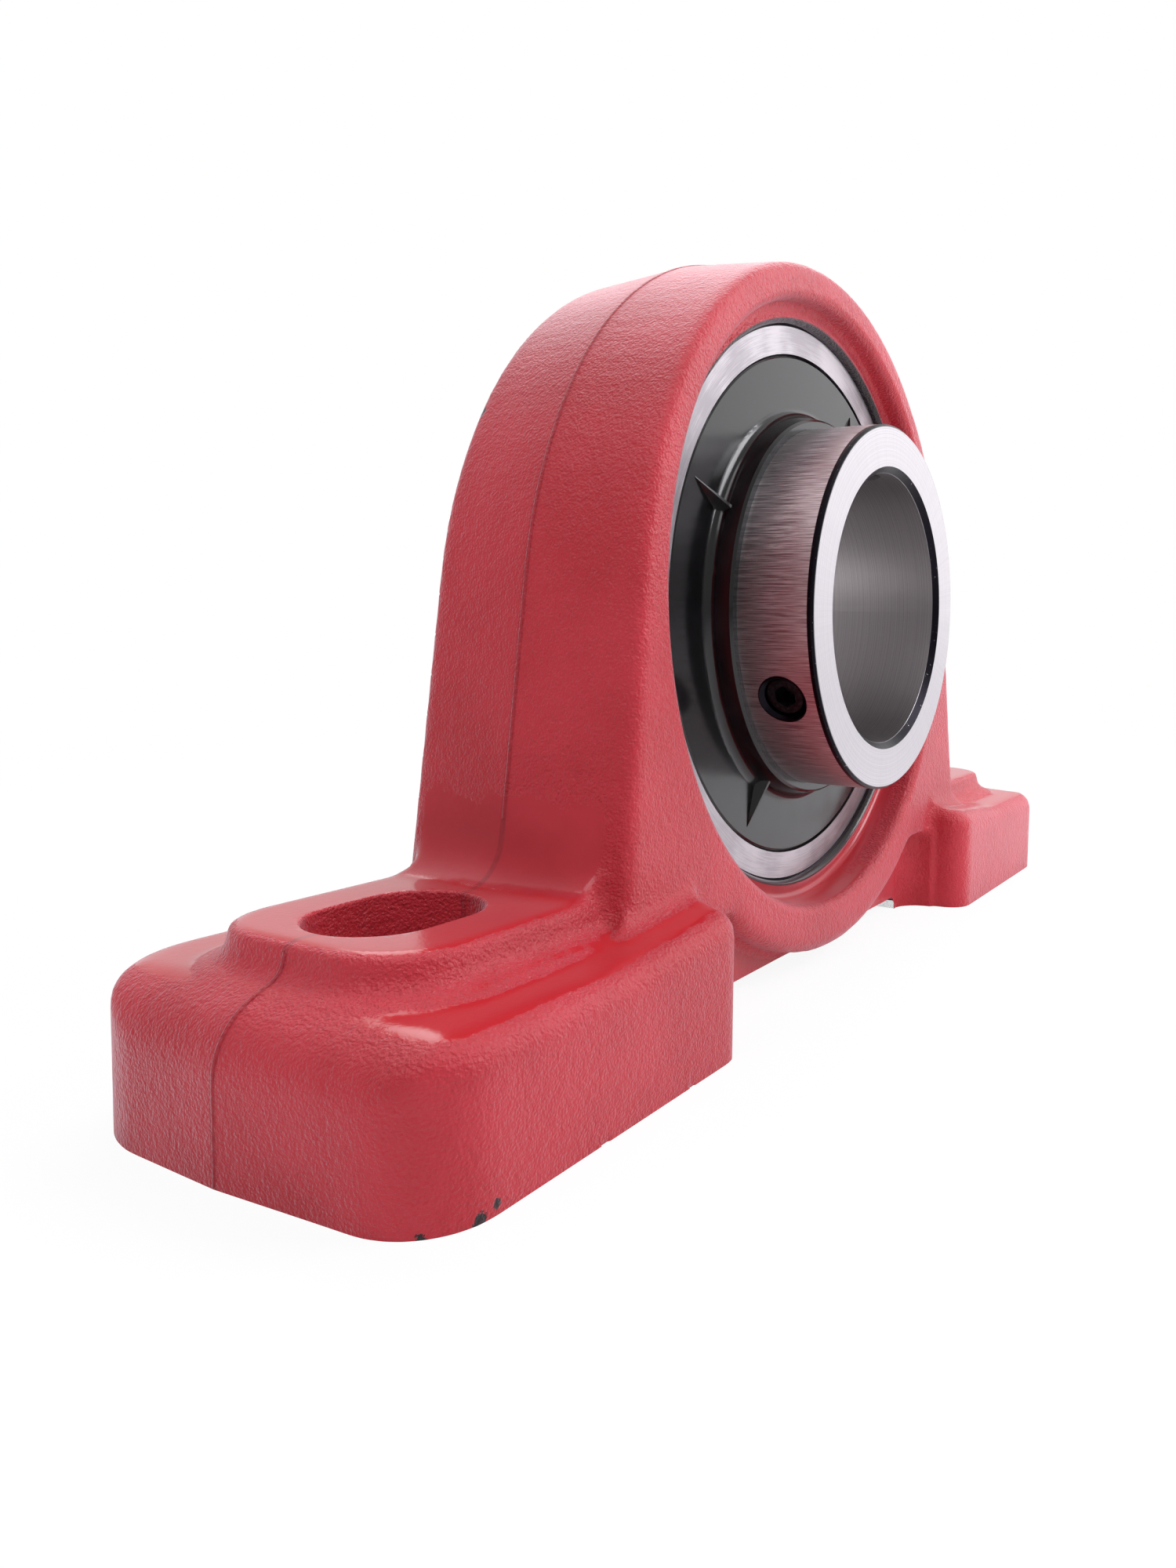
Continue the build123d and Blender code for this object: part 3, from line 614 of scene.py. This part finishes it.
# Outer ring: bare through-hardened bearing steel, ground on its faces and on the ball-shaped
# outside that seats in the housing. Grinding leaves fine rings near 0.05 mm apart, which are
# too fine to show and are drawn 0.35 mm apart.
GROUND_STEEL = "B5AFB4"
GROUND_DARK = "938D92"
GRINDING_LINES = 0.35
GROUND_CLOUD = 22.0
# How deep fine marks are, in metres.
FINE_DEPTH = 0.0001


def ground_bearing_steel():
    """Ground steel whose fine lines run round the shaft axis."""
    material, tree, shader, place = new_material("ground_bearing_steel")
    radius, along, turn = about_shaft(tree, place)
    swing = add(tree, "ShaderNodeMath", {0: turn, 1: 3.0}, operation="MULTIPLY")
    rings = add(tree, "ShaderNodeCombineXYZ", {"X": radius, "Y": along, "Z": swing})
    fine = add(tree, "ShaderNodeTexNoise",
               {"Vector": rings, "Scale": 1 / GRINDING_LINES, "Detail": 3.0, "Roughness": 0.6})
    broad = add(tree, "ShaderNodeTexNoise", {"Vector": place, "Scale": 1 / GROUND_CLOUD, "Detail": 3.0})
    both = add(tree, "ShaderNodeMath", {0: fine, 1: broad}, operation="ADD")
    shade = add(tree, "ShaderNodeMapRange", {0: both, 1: 0.75, 2: 1.25}, **EASED)
    colour = add(tree, "ShaderNodeMix", {0: shade, 6: linear(GROUND_DARK), 7: linear(GROUND_STEEL)},
                 data_type="RGBA")
    roughness = add(tree, "ShaderNodeMapRange", {0: fine, 1: 0.3, 2: 0.7, 3: 0.28, 4: 0.40}, **EASED)
    bump = add(tree, "ShaderNodeBump", {"Height": fine, "Strength": 0.12, "Distance": FINE_DEPTH})
    feed(tree, shader, {"Base Color": colour, "Metallic": 1.0, "Roughness": roughness, "Normal": bump})
    return material


dress("outer_ring", ground_bearing_steel())

# Balls: eight lapped balls of bearing steel, mirror bright, held 45 degrees apart.
# They are hidden by the flingers and show only in an opened bearing.
BALL_STEEL = "E4E2E6"


def lapped_steel():
    """Bright lapped steel with the faintest haze."""
    material, tree, shader, place = new_material("lapped_ball_steel")
    haze = add(tree, "ShaderNodeTexNoise", {"Vector": place, "Scale": 1 / 1.2, "Detail": 4.0})
    colour = add(tree, "ShaderNodeMix", {0: haze, 6: linear(BALL_STEEL), 7: linear(GROUND_STEEL)},
                 data_type="RGBA")
    roughness = add(tree, "ShaderNodeMapRange", {0: haze, 1: 0.3, 2: 0.7, 3: 0.07, 4: 0.12}, **EASED)
    feed(tree, shader, {"Base Color": colour, "Metallic": 1.0, "Roughness": roughness})
    return material


ball_steel = lapped_steel()
for name in sorted(node for node in nodes if node.startswith("ball_")):
    dress(name, ball_steel)

# Cage: two pressed rings of mild steel sheet that wrap the balls, joined by eight rivets.
# Pressed sheet keeps the dull, patchy satin of the rolling mill.
CAGE_SHEET = "A9A6A4"
CAGE_SHADE = "8A8785"
RIVET_STEEL = "9C9896"
RIVET_SHADE = "7B7876"
MILL_PATCH = 6.0


def satin_steel(name, bright, dark, rough):
    """Dull steel with soft patches, for sheet, wire and plated parts."""
    material, tree, shader, place = new_material(name)
    patch = add(tree, "ShaderNodeTexNoise",
                {"Vector": place, "Scale": 1 / MILL_PATCH, "Detail": 5.0, "Roughness": 0.6})
    shade = add(tree, "ShaderNodeMapRange", {0: patch, 1: 0.3, 2: 0.7}, **EASED)
    colour = add(tree, "ShaderNodeMix", {0: shade, 6: linear(dark), 7: linear(bright)}, data_type="RGBA")
    roughness = add(tree, "ShaderNodeMapRange", {0: patch, 1: 0.3, 2: 0.7, 3: rough - 0.05, 4: rough + 0.08},
                    **EASED)
    bump = add(tree, "ShaderNodeBump", {"Height": patch, "Strength": 0.1, "Distance": FINE_DEPTH})
    feed(tree, shader, {"Base Color": colour, "Metallic": 1.0, "Roughness": roughness, "Normal": bump})
    return material


cage_steel = satin_steel("pressed_mild_steel_sheet", CAGE_SHEET, CAGE_SHADE, 0.42)
dress("cage_front", cage_steel)
dress("cage_back", cage_steel)
dress("cage_rivets", satin_steel("rivet_mild_steel", RIVET_STEEL, RIVET_SHADE, 0.48))

# Inner ring: bearing steel with a long front end for the set screws. The outside is plunge
# ground with streaks along the shaft, the end faces and bore are bright, and the chamfers
# keep the black scale of heat treatment, worn through in bright specks. Sizes in millimetres.
RING_OUTSIDE = "D3D0D2"
RING_STREAK = "8E8A8C"
RING_SCRATCH = "4E4A4C"
RING_BORE = "BDB9BA"
RING_BORE_DARK = "A29E9F"
RING_FACE = "C2BEC2"
RING_FACE_DARK = "ADA9AD"
BLACK_SCALE = "17151A"
STREAK_LENGTH = 16.0
# Real streaks are near 0.1 mm wide, too fine to show, and are drawn 0.4 mm wide.
STREAK_WIDTH = 0.4
TURNING_LINES = 0.5
SCALE_SPECK = 1.3
INNER_OUTSIDE_R = 74.0
INNER_BORE_R = mounts["shaft_bore"]["dims"]["r_mm"]
INNER_FRONT = 71.0
BORE_CHAMFER = 2.5
SCREW_TURNS = (radians(208.3), radians(88.3))
SCREW_Y = -55.0
SCREW_DARK_R = 9.9
BORE_SIDE_R = (56.0, 57.0)


def ground_finish(tree, radius, along, turn):
    """Colour of the streaked outside, the turned faces and the bore, with the streaks and where they lie."""
    arc = add(tree, "ShaderNodeMath", {0: turn, 1: INNER_OUTSIDE_R / STREAK_WIDTH}, operation="MULTIPLY")
    run = add(tree, "ShaderNodeMath", {0: along, 1: 1 / STREAK_LENGTH}, operation="MULTIPLY")
    grid = add(tree, "ShaderNodeCombineXYZ", {"X": arc, "Y": run})
    streak = add(tree, "ShaderNodeTexNoise", {"Vector": grid, "Scale": 1.0, "Detail": 3.0, "Roughness": 0.6})
    rings = add(tree, "ShaderNodeCombineXYZ", {"X": radius, "Y": along})
    turned = add(tree, "ShaderNodeTexNoise",
                 {"Vector": rings, "Scale": 1 / TURNING_LINES, "Detail": 2.0, "Roughness": 0.6})
    pale = add(tree, "ShaderNodeMapRange", {0: streak, 1: 0.3, 2: 0.7}, **EASED)
    deep = add(tree, "ShaderNodeMapRange", {0: streak, 1: 0.64, 2: 0.71, 4: 0.85}, **EASED)
    bright = add(tree, "ShaderNodeMapRange", {0: turned, 1: 0.3, 2: 0.7}, **EASED)
    sides = add(tree, "ShaderNodeMix", {0: pale, 6: linear(RING_STREAK), 7: linear(RING_OUTSIDE)},
                data_type="RGBA")
    sides = add(tree, "ShaderNodeMix", {0: deep, 6: sides, 7: linear(RING_SCRATCH)}, data_type="RGBA")
    faces = add(tree, "ShaderNodeMix", {0: bright, 6: linear(RING_FACE_DARK), 7: linear(RING_FACE)},
                data_type="RGBA")
    inside = add(tree, "ShaderNodeMix", {0: bright, 6: linear(RING_BORE_DARK), 7: linear(RING_BORE)},
                 data_type="RGBA")
    outer = add(tree, "ShaderNodeMapRange",
                {0: radius, 1: INNER_OUTSIDE_R - 0.6, 2: INNER_OUTSIDE_R - 0.1}, **EASED)
    bore = add(tree, "ShaderNodeMapRange", {0: radius, 1: INNER_BORE_R + 0.4, 2: INNER_BORE_R + 0.1}, **EASED)
    colour = add(tree, "ShaderNodeMix", {0: outer, 6: faces, 7: sides}, data_type="RGBA")
    colour = add(tree, "ShaderNodeMix", {0: bore, 6: colour, 7: inside}, data_type="RGBA")
    return colour, streak, outer


def chamfer_scale(tree, place, radius, along):
    """Where scale is left: on the chamfers at both ends, but for the specks worn bright."""
    reach = add(tree, "ShaderNodeMath", {0: along}, operation="ABSOLUTE")
    rim = add(tree, "ShaderNodeMapRange",
              {0: radius, 1: INNER_OUTSIDE_R - 1.3, 2: INNER_OUTSIDE_R - 0.7}, **EASED)
    mouth_r = INNER_BORE_R + BORE_CHAMFER
    mouth_rim = add(tree, "ShaderNodeMapRange", {0: radius, 1: mouth_r + 0.1, 2: mouth_r - 0.1}, **EASED)
    edges = add(tree, "ShaderNodeMath", {0: rim, 1: mouth_rim}, operation="ADD")
    outer_end = add(tree, "ShaderNodeMapRange",
                    {0: reach, 1: INNER_FRONT - 1.6, 2: INNER_FRONT - 1.2}, **EASED)
    bore_end = add(tree, "ShaderNodeMapRange",
                   {0: reach, 1: INNER_FRONT - 2.6, 2: INNER_FRONT - 2.3}, **EASED)
    ends = add(tree, "ShaderNodeMath", {0: outer_end, 1: bore_end}, operation="MAXIMUM")
    scale = add(tree, "ShaderNodeMath", {0: edges, 1: ends}, operation="MULTIPLY")
    wear = add(tree, "ShaderNodeTexNoise",
               {"Vector": place, "Scale": 1 / SCALE_SPECK, "Detail": 4.0, "Roughness": 0.7})
    left = add(tree, "ShaderNodeMapRange", {0: wear, 1: 0.66, 2: 0.72, 3: 1.0, 4: 0.0}, **EASED)
    return add(tree, "ShaderNodeMath", {0: scale, 1: left}, operation="MULTIPLY")


def screw_mouth(tree, place, turn):
    """Where the countersink of a set screw's hole lies, outside the bore."""
    out = (cos(turn), 0.0, sin(turn))
    foot = (0.0, SCREW_Y, SHAFT.z * 1000)
    away = add(tree, "ShaderNodeVectorMath", {0: place, 1: foot}, operation="SUBTRACT")
    across = add(tree, "ShaderNodeVectorMath", {0: away, 1: out}, operation="CROSS_PRODUCT")
    gap = add(tree, "ShaderNodeVectorMath", {0: across}, operation="LENGTH")
    facing = add(tree, "ShaderNodeVectorMath", {0: away, 1: out}, operation="DOT_PRODUCT")
    hole = add(tree, "ShaderNodeMapRange", {0: gap, 1: SCREW_DARK_R + 0.15, 2: SCREW_DARK_R - 0.15}, **EASED)
    past = add(tree, "ShaderNodeMapRange", {0: facing, 1: BORE_SIDE_R[0], 2: BORE_SIDE_R[1]}, **EASED)
    return add(tree, "ShaderNodeMath", {0: hole, 1: past}, operation="MULTIPLY")


def ground_steel_with_scale():
    """Streaked and turned steel, black in the chamfers and the mouths of the screw holes."""
    material, tree, shader, place = new_material("ground_steel_with_black_scale")
    radius, along, turn = about_shaft(tree, place)
    colour, streak, outer = ground_finish(tree, radius, along, turn)
    dark = [chamfer_scale(tree, place, radius, along)]
    dark += [screw_mouth(tree, place, screw) for screw in SCREW_TURNS]
    for mask in dark:
        colour = add(tree, "ShaderNodeMix", {0: mask, 6: colour, 7: linear(BLACK_SCALE)}, data_type="RGBA")
    height = add(tree, "ShaderNodeMath", {0: streak, 1: outer}, operation="MULTIPLY")
    roughness = add(tree, "ShaderNodeMapRange", {0: streak, 1: 0.3, 2: 0.7, 3: 0.30, 4: 0.42}, **EASED)
    bump = add(tree, "ShaderNodeBump", {"Height": height, "Strength": 0.15, "Distance": FINE_DEPTH})
    feed(tree, shader, {"Base Color": colour, "Metallic": 1.0, "Roughness": roughness, "Normal": bump})
    return material


dress("inner_ring", ground_steel_with_scale())

# Seals and flingers: each seal is nitrile rubber on a steel core, snapped into the outer ring.
# In front of it a flinger of glossy black rubber-coated steel is pressed on the inner ring.
NITRILE = "0C0B0D"
NITRILE_DUST = "19171A"
SMUDGE = 14.0
RUBBER_GRAIN = 0.8


def nitrile_rubber(name, rough, dust):
    """Black rubber with smudges of dust."""
    material, tree, shader, place = new_material(name)
    smudge = add(tree, "ShaderNodeTexNoise",
                 {"Vector": place, "Scale": 1 / SMUDGE, "Detail": 5.0, "Roughness": 0.6})
    grain = add(tree, "ShaderNodeTexNoise", {"Vector": place, "Scale": 1 / RUBBER_GRAIN, "Detail": 3.0})
    dusty = add(tree, "ShaderNodeMapRange", {0: smudge, 1: 0.45, 2: 0.75, 4: dust}, **EASED)
    colour = add(tree, "ShaderNodeMix", {0: dusty, 6: linear(NITRILE), 7: linear(NITRILE_DUST)},
                 data_type="RGBA")
    roughness = add(tree, "ShaderNodeMapRange", {0: smudge, 1: 0.3, 2: 0.7, 3: rough, 4: rough + 0.08},
                    **EASED)
    bump = add(tree, "ShaderNodeBump", {"Height": grain, "Strength": 0.05, "Distance": FINE_DEPTH})
    feed(tree, shader, {"Base Color": colour, "Roughness": roughness, "IOR": 1.52,
                        "Specular IOR Level": 0.4, "Normal": bump})
    return material


gloss_rubber = nitrile_rubber("glossy_nitrile_flinger", 0.13, 0.6)
dull_rubber = nitrile_rubber("dull_nitrile_seal", 0.55, 1.0)
for side in ("front", "back"):
    dress("seal_" + side, dull_rubber)
    dress("flinger_" + side, gloss_rubber)

# Set screws: two hexagon socket set screws of alloy steel that lock the ring on the shaft.
# A hot bath has blackened them, and the oxide is rubbed greyer in patches.
BLACK_OXIDE = "1B1A1D"
WORN_OXIDE = "3A383C"
OXIDE_PATCH = 1.5


def black_oxide():
    """Blackened alloy steel, rubbed paler in patches."""
    material, tree, shader, place = new_material("black_oxide_alloy_steel")
    patch = add(tree, "ShaderNodeTexNoise",
                {"Vector": place, "Scale": 1 / OXIDE_PATCH, "Detail": 4.0, "Roughness": 0.6})
    worn = add(tree, "ShaderNodeMapRange", {0: patch, 1: 0.4, 2: 0.8}, **EASED)
    colour = add(tree, "ShaderNodeMix", {0: worn, 6: linear(BLACK_OXIDE), 7: linear(WORN_OXIDE)},
                 data_type="RGBA")
    roughness = add(tree, "ShaderNodeMapRange", {0: patch, 1: 0.3, 2: 0.7, 3: 0.28, 4: 0.42}, **EASED)
    feed(tree, shader, {"Base Color": colour, "Metallic": 0.8, "Roughness": roughness})
    return material


oxide = black_oxide()
for name in ("set_screw_1", "set_screw_2"):
    dress(name, oxide)

# Grease nipple: a turned steel body, zinc plated to a dull silver and screwed into the housing,
# with a check ball held against its mouth by a small spring of drawn wire.
ZINC = "C8C6BE"
ZINC_DULL = "A3A09A"
SPRING_WIRE = "B5B3B1"
SPRING_SHADE = "8E8C8A"
dress("nipple_body", satin_steel("zinc_plated_steel", ZINC, ZINC_DULL, 0.34))
dress("nipple_ball", ball_steel)
dress("nipple_spring", satin_steel("drawn_spring_wire", SPRING_WIRE, SPRING_SHADE, 0.3))

# Studio: a sheet of matt white paper that runs out of sight, a white surround and four soft
# lamps, in metres and watts. The camera sees plain white past the object, and the paper keeps
# the object's shadow.
PAPER = "FFFFFF"
PAPER_FIBRE = "FAFAFA"
FIBRE_SIZE = 0.0025
FLOOR_REACH = 12.0
SHADOW_ZONE = (0.35, 1.2)
PAPER_GLOW = (0.92, 1.0)
WHITE = (1.0, 1.0, 1.0, 1.0)
FILL_TINT = (0.97, 0.97, 1.0, 1.0)
FILL_LIGHT = 0.24
BACKDROP_WAY = (0.85, 0.46, 0.26)
BACKDROP_SPREAD = (-0.1, 0.75)
BACKDROP_SHARE = (0.45, 1.0)
LAMP_TINT = (0.975, 0.965, 1.0)
# Name, place, aim, width and power.
SOFTBOXES = (
    ("left_softbox", (-0.75, -0.2, 1.5), (0, 0, 0.12), 1.2, 14.0),
    ("back_softbox", (0.7, 0.5, 1.3), (0, 0, 0.15), 1.3, 15.0),
    ("right_softbox", (1.08, -0.50, 0.42), (0, 0, 0.18), 0.9, 2.4),
    ("front_softbox", (0.30, -0.66, 0.62), (0.04, 0, 0.20), 0.42, 5.0),
)


def studio_floor():
    """White paper that glows to the camera, less so near the object, where the shadow falls."""
    mesh = bpy.data.meshes.new("studio_floor")
    corners = [(x * FLOOR_REACH, y * FLOOR_REACH, 0) for x, y in ((-1, -1), (1, -1), (1, 1), (-1, 1))]
    mesh.from_pydata(corners, [], [(0, 1, 2, 3)])
    material = bpy.data.materials.new("matt_white_paper")
    material.use_nodes = True
    tree = material.node_tree
    shader = tree.nodes["Principled BSDF"]
    place = add(tree, "ShaderNodeTexCoord").outputs["Object"]
    fibre = add(tree, "ShaderNodeTexNoise", {"Vector": place, "Scale": 1 / FIBRE_SIZE})
    colour = add(tree, "ShaderNodeMix", {0: fibre, 6: linear(PAPER_FIBRE), 7: linear(PAPER)},
                 data_type="RGBA")
    feed(tree, shader, {"Base Color": colour, "Roughness": 0.9})
    sight = add(tree, "ShaderNodeLightPath").outputs["Is Camera Ray"]
    far = add(tree, "ShaderNodeVectorMath", {0: place}, operation="LENGTH")
    share = add(tree, "ShaderNodeMapRange", {0: far, 1: SHADOW_ZONE[0], 2: SHADOW_ZONE[1],
                                             3: PAPER_GLOW[0], 4: PAPER_GLOW[1]}, **EASED)
    seen = add(tree, "ShaderNodeMath", {0: sight, 1: share}, operation="MULTIPLY")
    glow = add(tree, "ShaderNodeEmission", {"Color": WHITE, "Strength": 1.0})
    mixed = add(tree, "ShaderNodeMixShader", {0: seen, 1: shader, 2: glow})
    feed(tree, tree.nodes["Material Output"], {"Surface": mixed})
    mesh.materials.append(material)
    placed("studio_floor", mesh)


def surround():
    """White where the camera looks and in reflections of the backdrop, dim behind the camera."""
    world = bpy.data.worlds.new("white_surround")
    bpy.context.scene.world = world
    world.use_nodes = True
    tree = world.node_tree
    fill = tree.nodes["Background"]
    feed(tree, fill, {"Color": FILL_TINT, "Strength": FILL_LIGHT})
    path = add(tree, "ShaderNodeLightPath")
    way = add(tree, "ShaderNodeTexCoord").outputs["Generated"]
    facing = add(tree, "ShaderNodeVectorMath", {0: way, 1: BACKDROP_WAY}, operation="DOT_PRODUCT")
    share = add(tree, "ShaderNodeMapRange", {0: facing, 1: BACKDROP_SPREAD[0], 2: BACKDROP_SPREAD[1],
                                             3: BACKDROP_SHARE[0], 4: BACKDROP_SHARE[1]}, **EASED)
    glossy, through = path.outputs["Is Glossy Ray"], path.outputs["Is Transmission Ray"]
    mirrored = add(tree, "ShaderNodeMath", {0: glossy, 1: through}, operation="MAXIMUM")
    mirrored = add(tree, "ShaderNodeMath", {0: mirrored, 1: share}, operation="MULTIPLY")
    seen = add(tree, "ShaderNodeMath", {0: path.outputs["Is Camera Ray"], 1: mirrored}, operation="MAXIMUM")
    white = add(tree, "ShaderNodeBackground", {"Color": WHITE, "Strength": 1.0})
    mixed = add(tree, "ShaderNodeMixShader", {0: seen, 1: fill, 2: white})
    feed(tree, tree.nodes["World Output"], {"Surface": mixed})


def softbox(name, place, aim, width, power):
    """A square soft lamp at a place, turned to its aim."""
    data = bpy.data.lights.new(name, "AREA")
    data.color = LAMP_TINT
    data.shape = "SQUARE"
    data.size = width
    data.energy = power
    lamp = placed(name, data)
    lamp.location = place
    lamp.rotation_euler = (Vector(aim) - Vector(place)).to_track_quat("-Z", "Y").to_euler()


studio_floor()
surround()
for lamp in SOFTBOXES:
    softbox(*lamp)

# Camera: close to the near foot, a little under shaft height, with a wide lens. Its place in
# metres, its turns in radians and its focal length in pixels of the photograph were fitted to
# edges of known size.
EYE = Vector((-0.433492, -0.245749, 0.141529))
YAW = 1.0815949
PITCH = -0.0783513
ROLL = 0.0197218
PHOTO_WIDTH = 1500
PHOTO_HEIGHT = 2000
FOCAL_PX = 1436.48
CENTRE_PX = (981.004, 913.483)
SENSOR = 36.0


def photo_camera():
    """A camera at the photograph's place, with its off-centre view as lens shift."""
    forward = Vector((sin(YAW) * cos(PITCH), cos(YAW) * cos(PITCH), sin(PITCH)))
    right = Vector((cos(YAW), -sin(YAW), 0.0))
    up = right.cross(forward)
    across = right * cos(ROLL) + up * sin(ROLL)
    upright = up * cos(ROLL) - right * sin(ROLL)
    data = bpy.data.cameras.new("photo_camera")
    data.sensor_width = SENSOR
    data.lens = FOCAL_PX * SENSOR / PHOTO_HEIGHT
    data.shift_x = (PHOTO_WIDTH / 2 - CENTRE_PX[0]) / PHOTO_HEIGHT
    data.shift_y = (CENTRE_PX[1] - PHOTO_HEIGHT / 2) / PHOTO_HEIGHT
    data.clip_start = 0.01
    camera = placed("photo_camera", data)
    turn = Matrix((across, upright, -forward)).transposed().to_4x4()
    camera.matrix_world = Matrix.Translation(EYE) @ turn
    bpy.context.scene.camera = camera


photo_camera()
bpy.context.scene.view_settings.view_transform = "Standard"

bpy.context.view_layer.update()
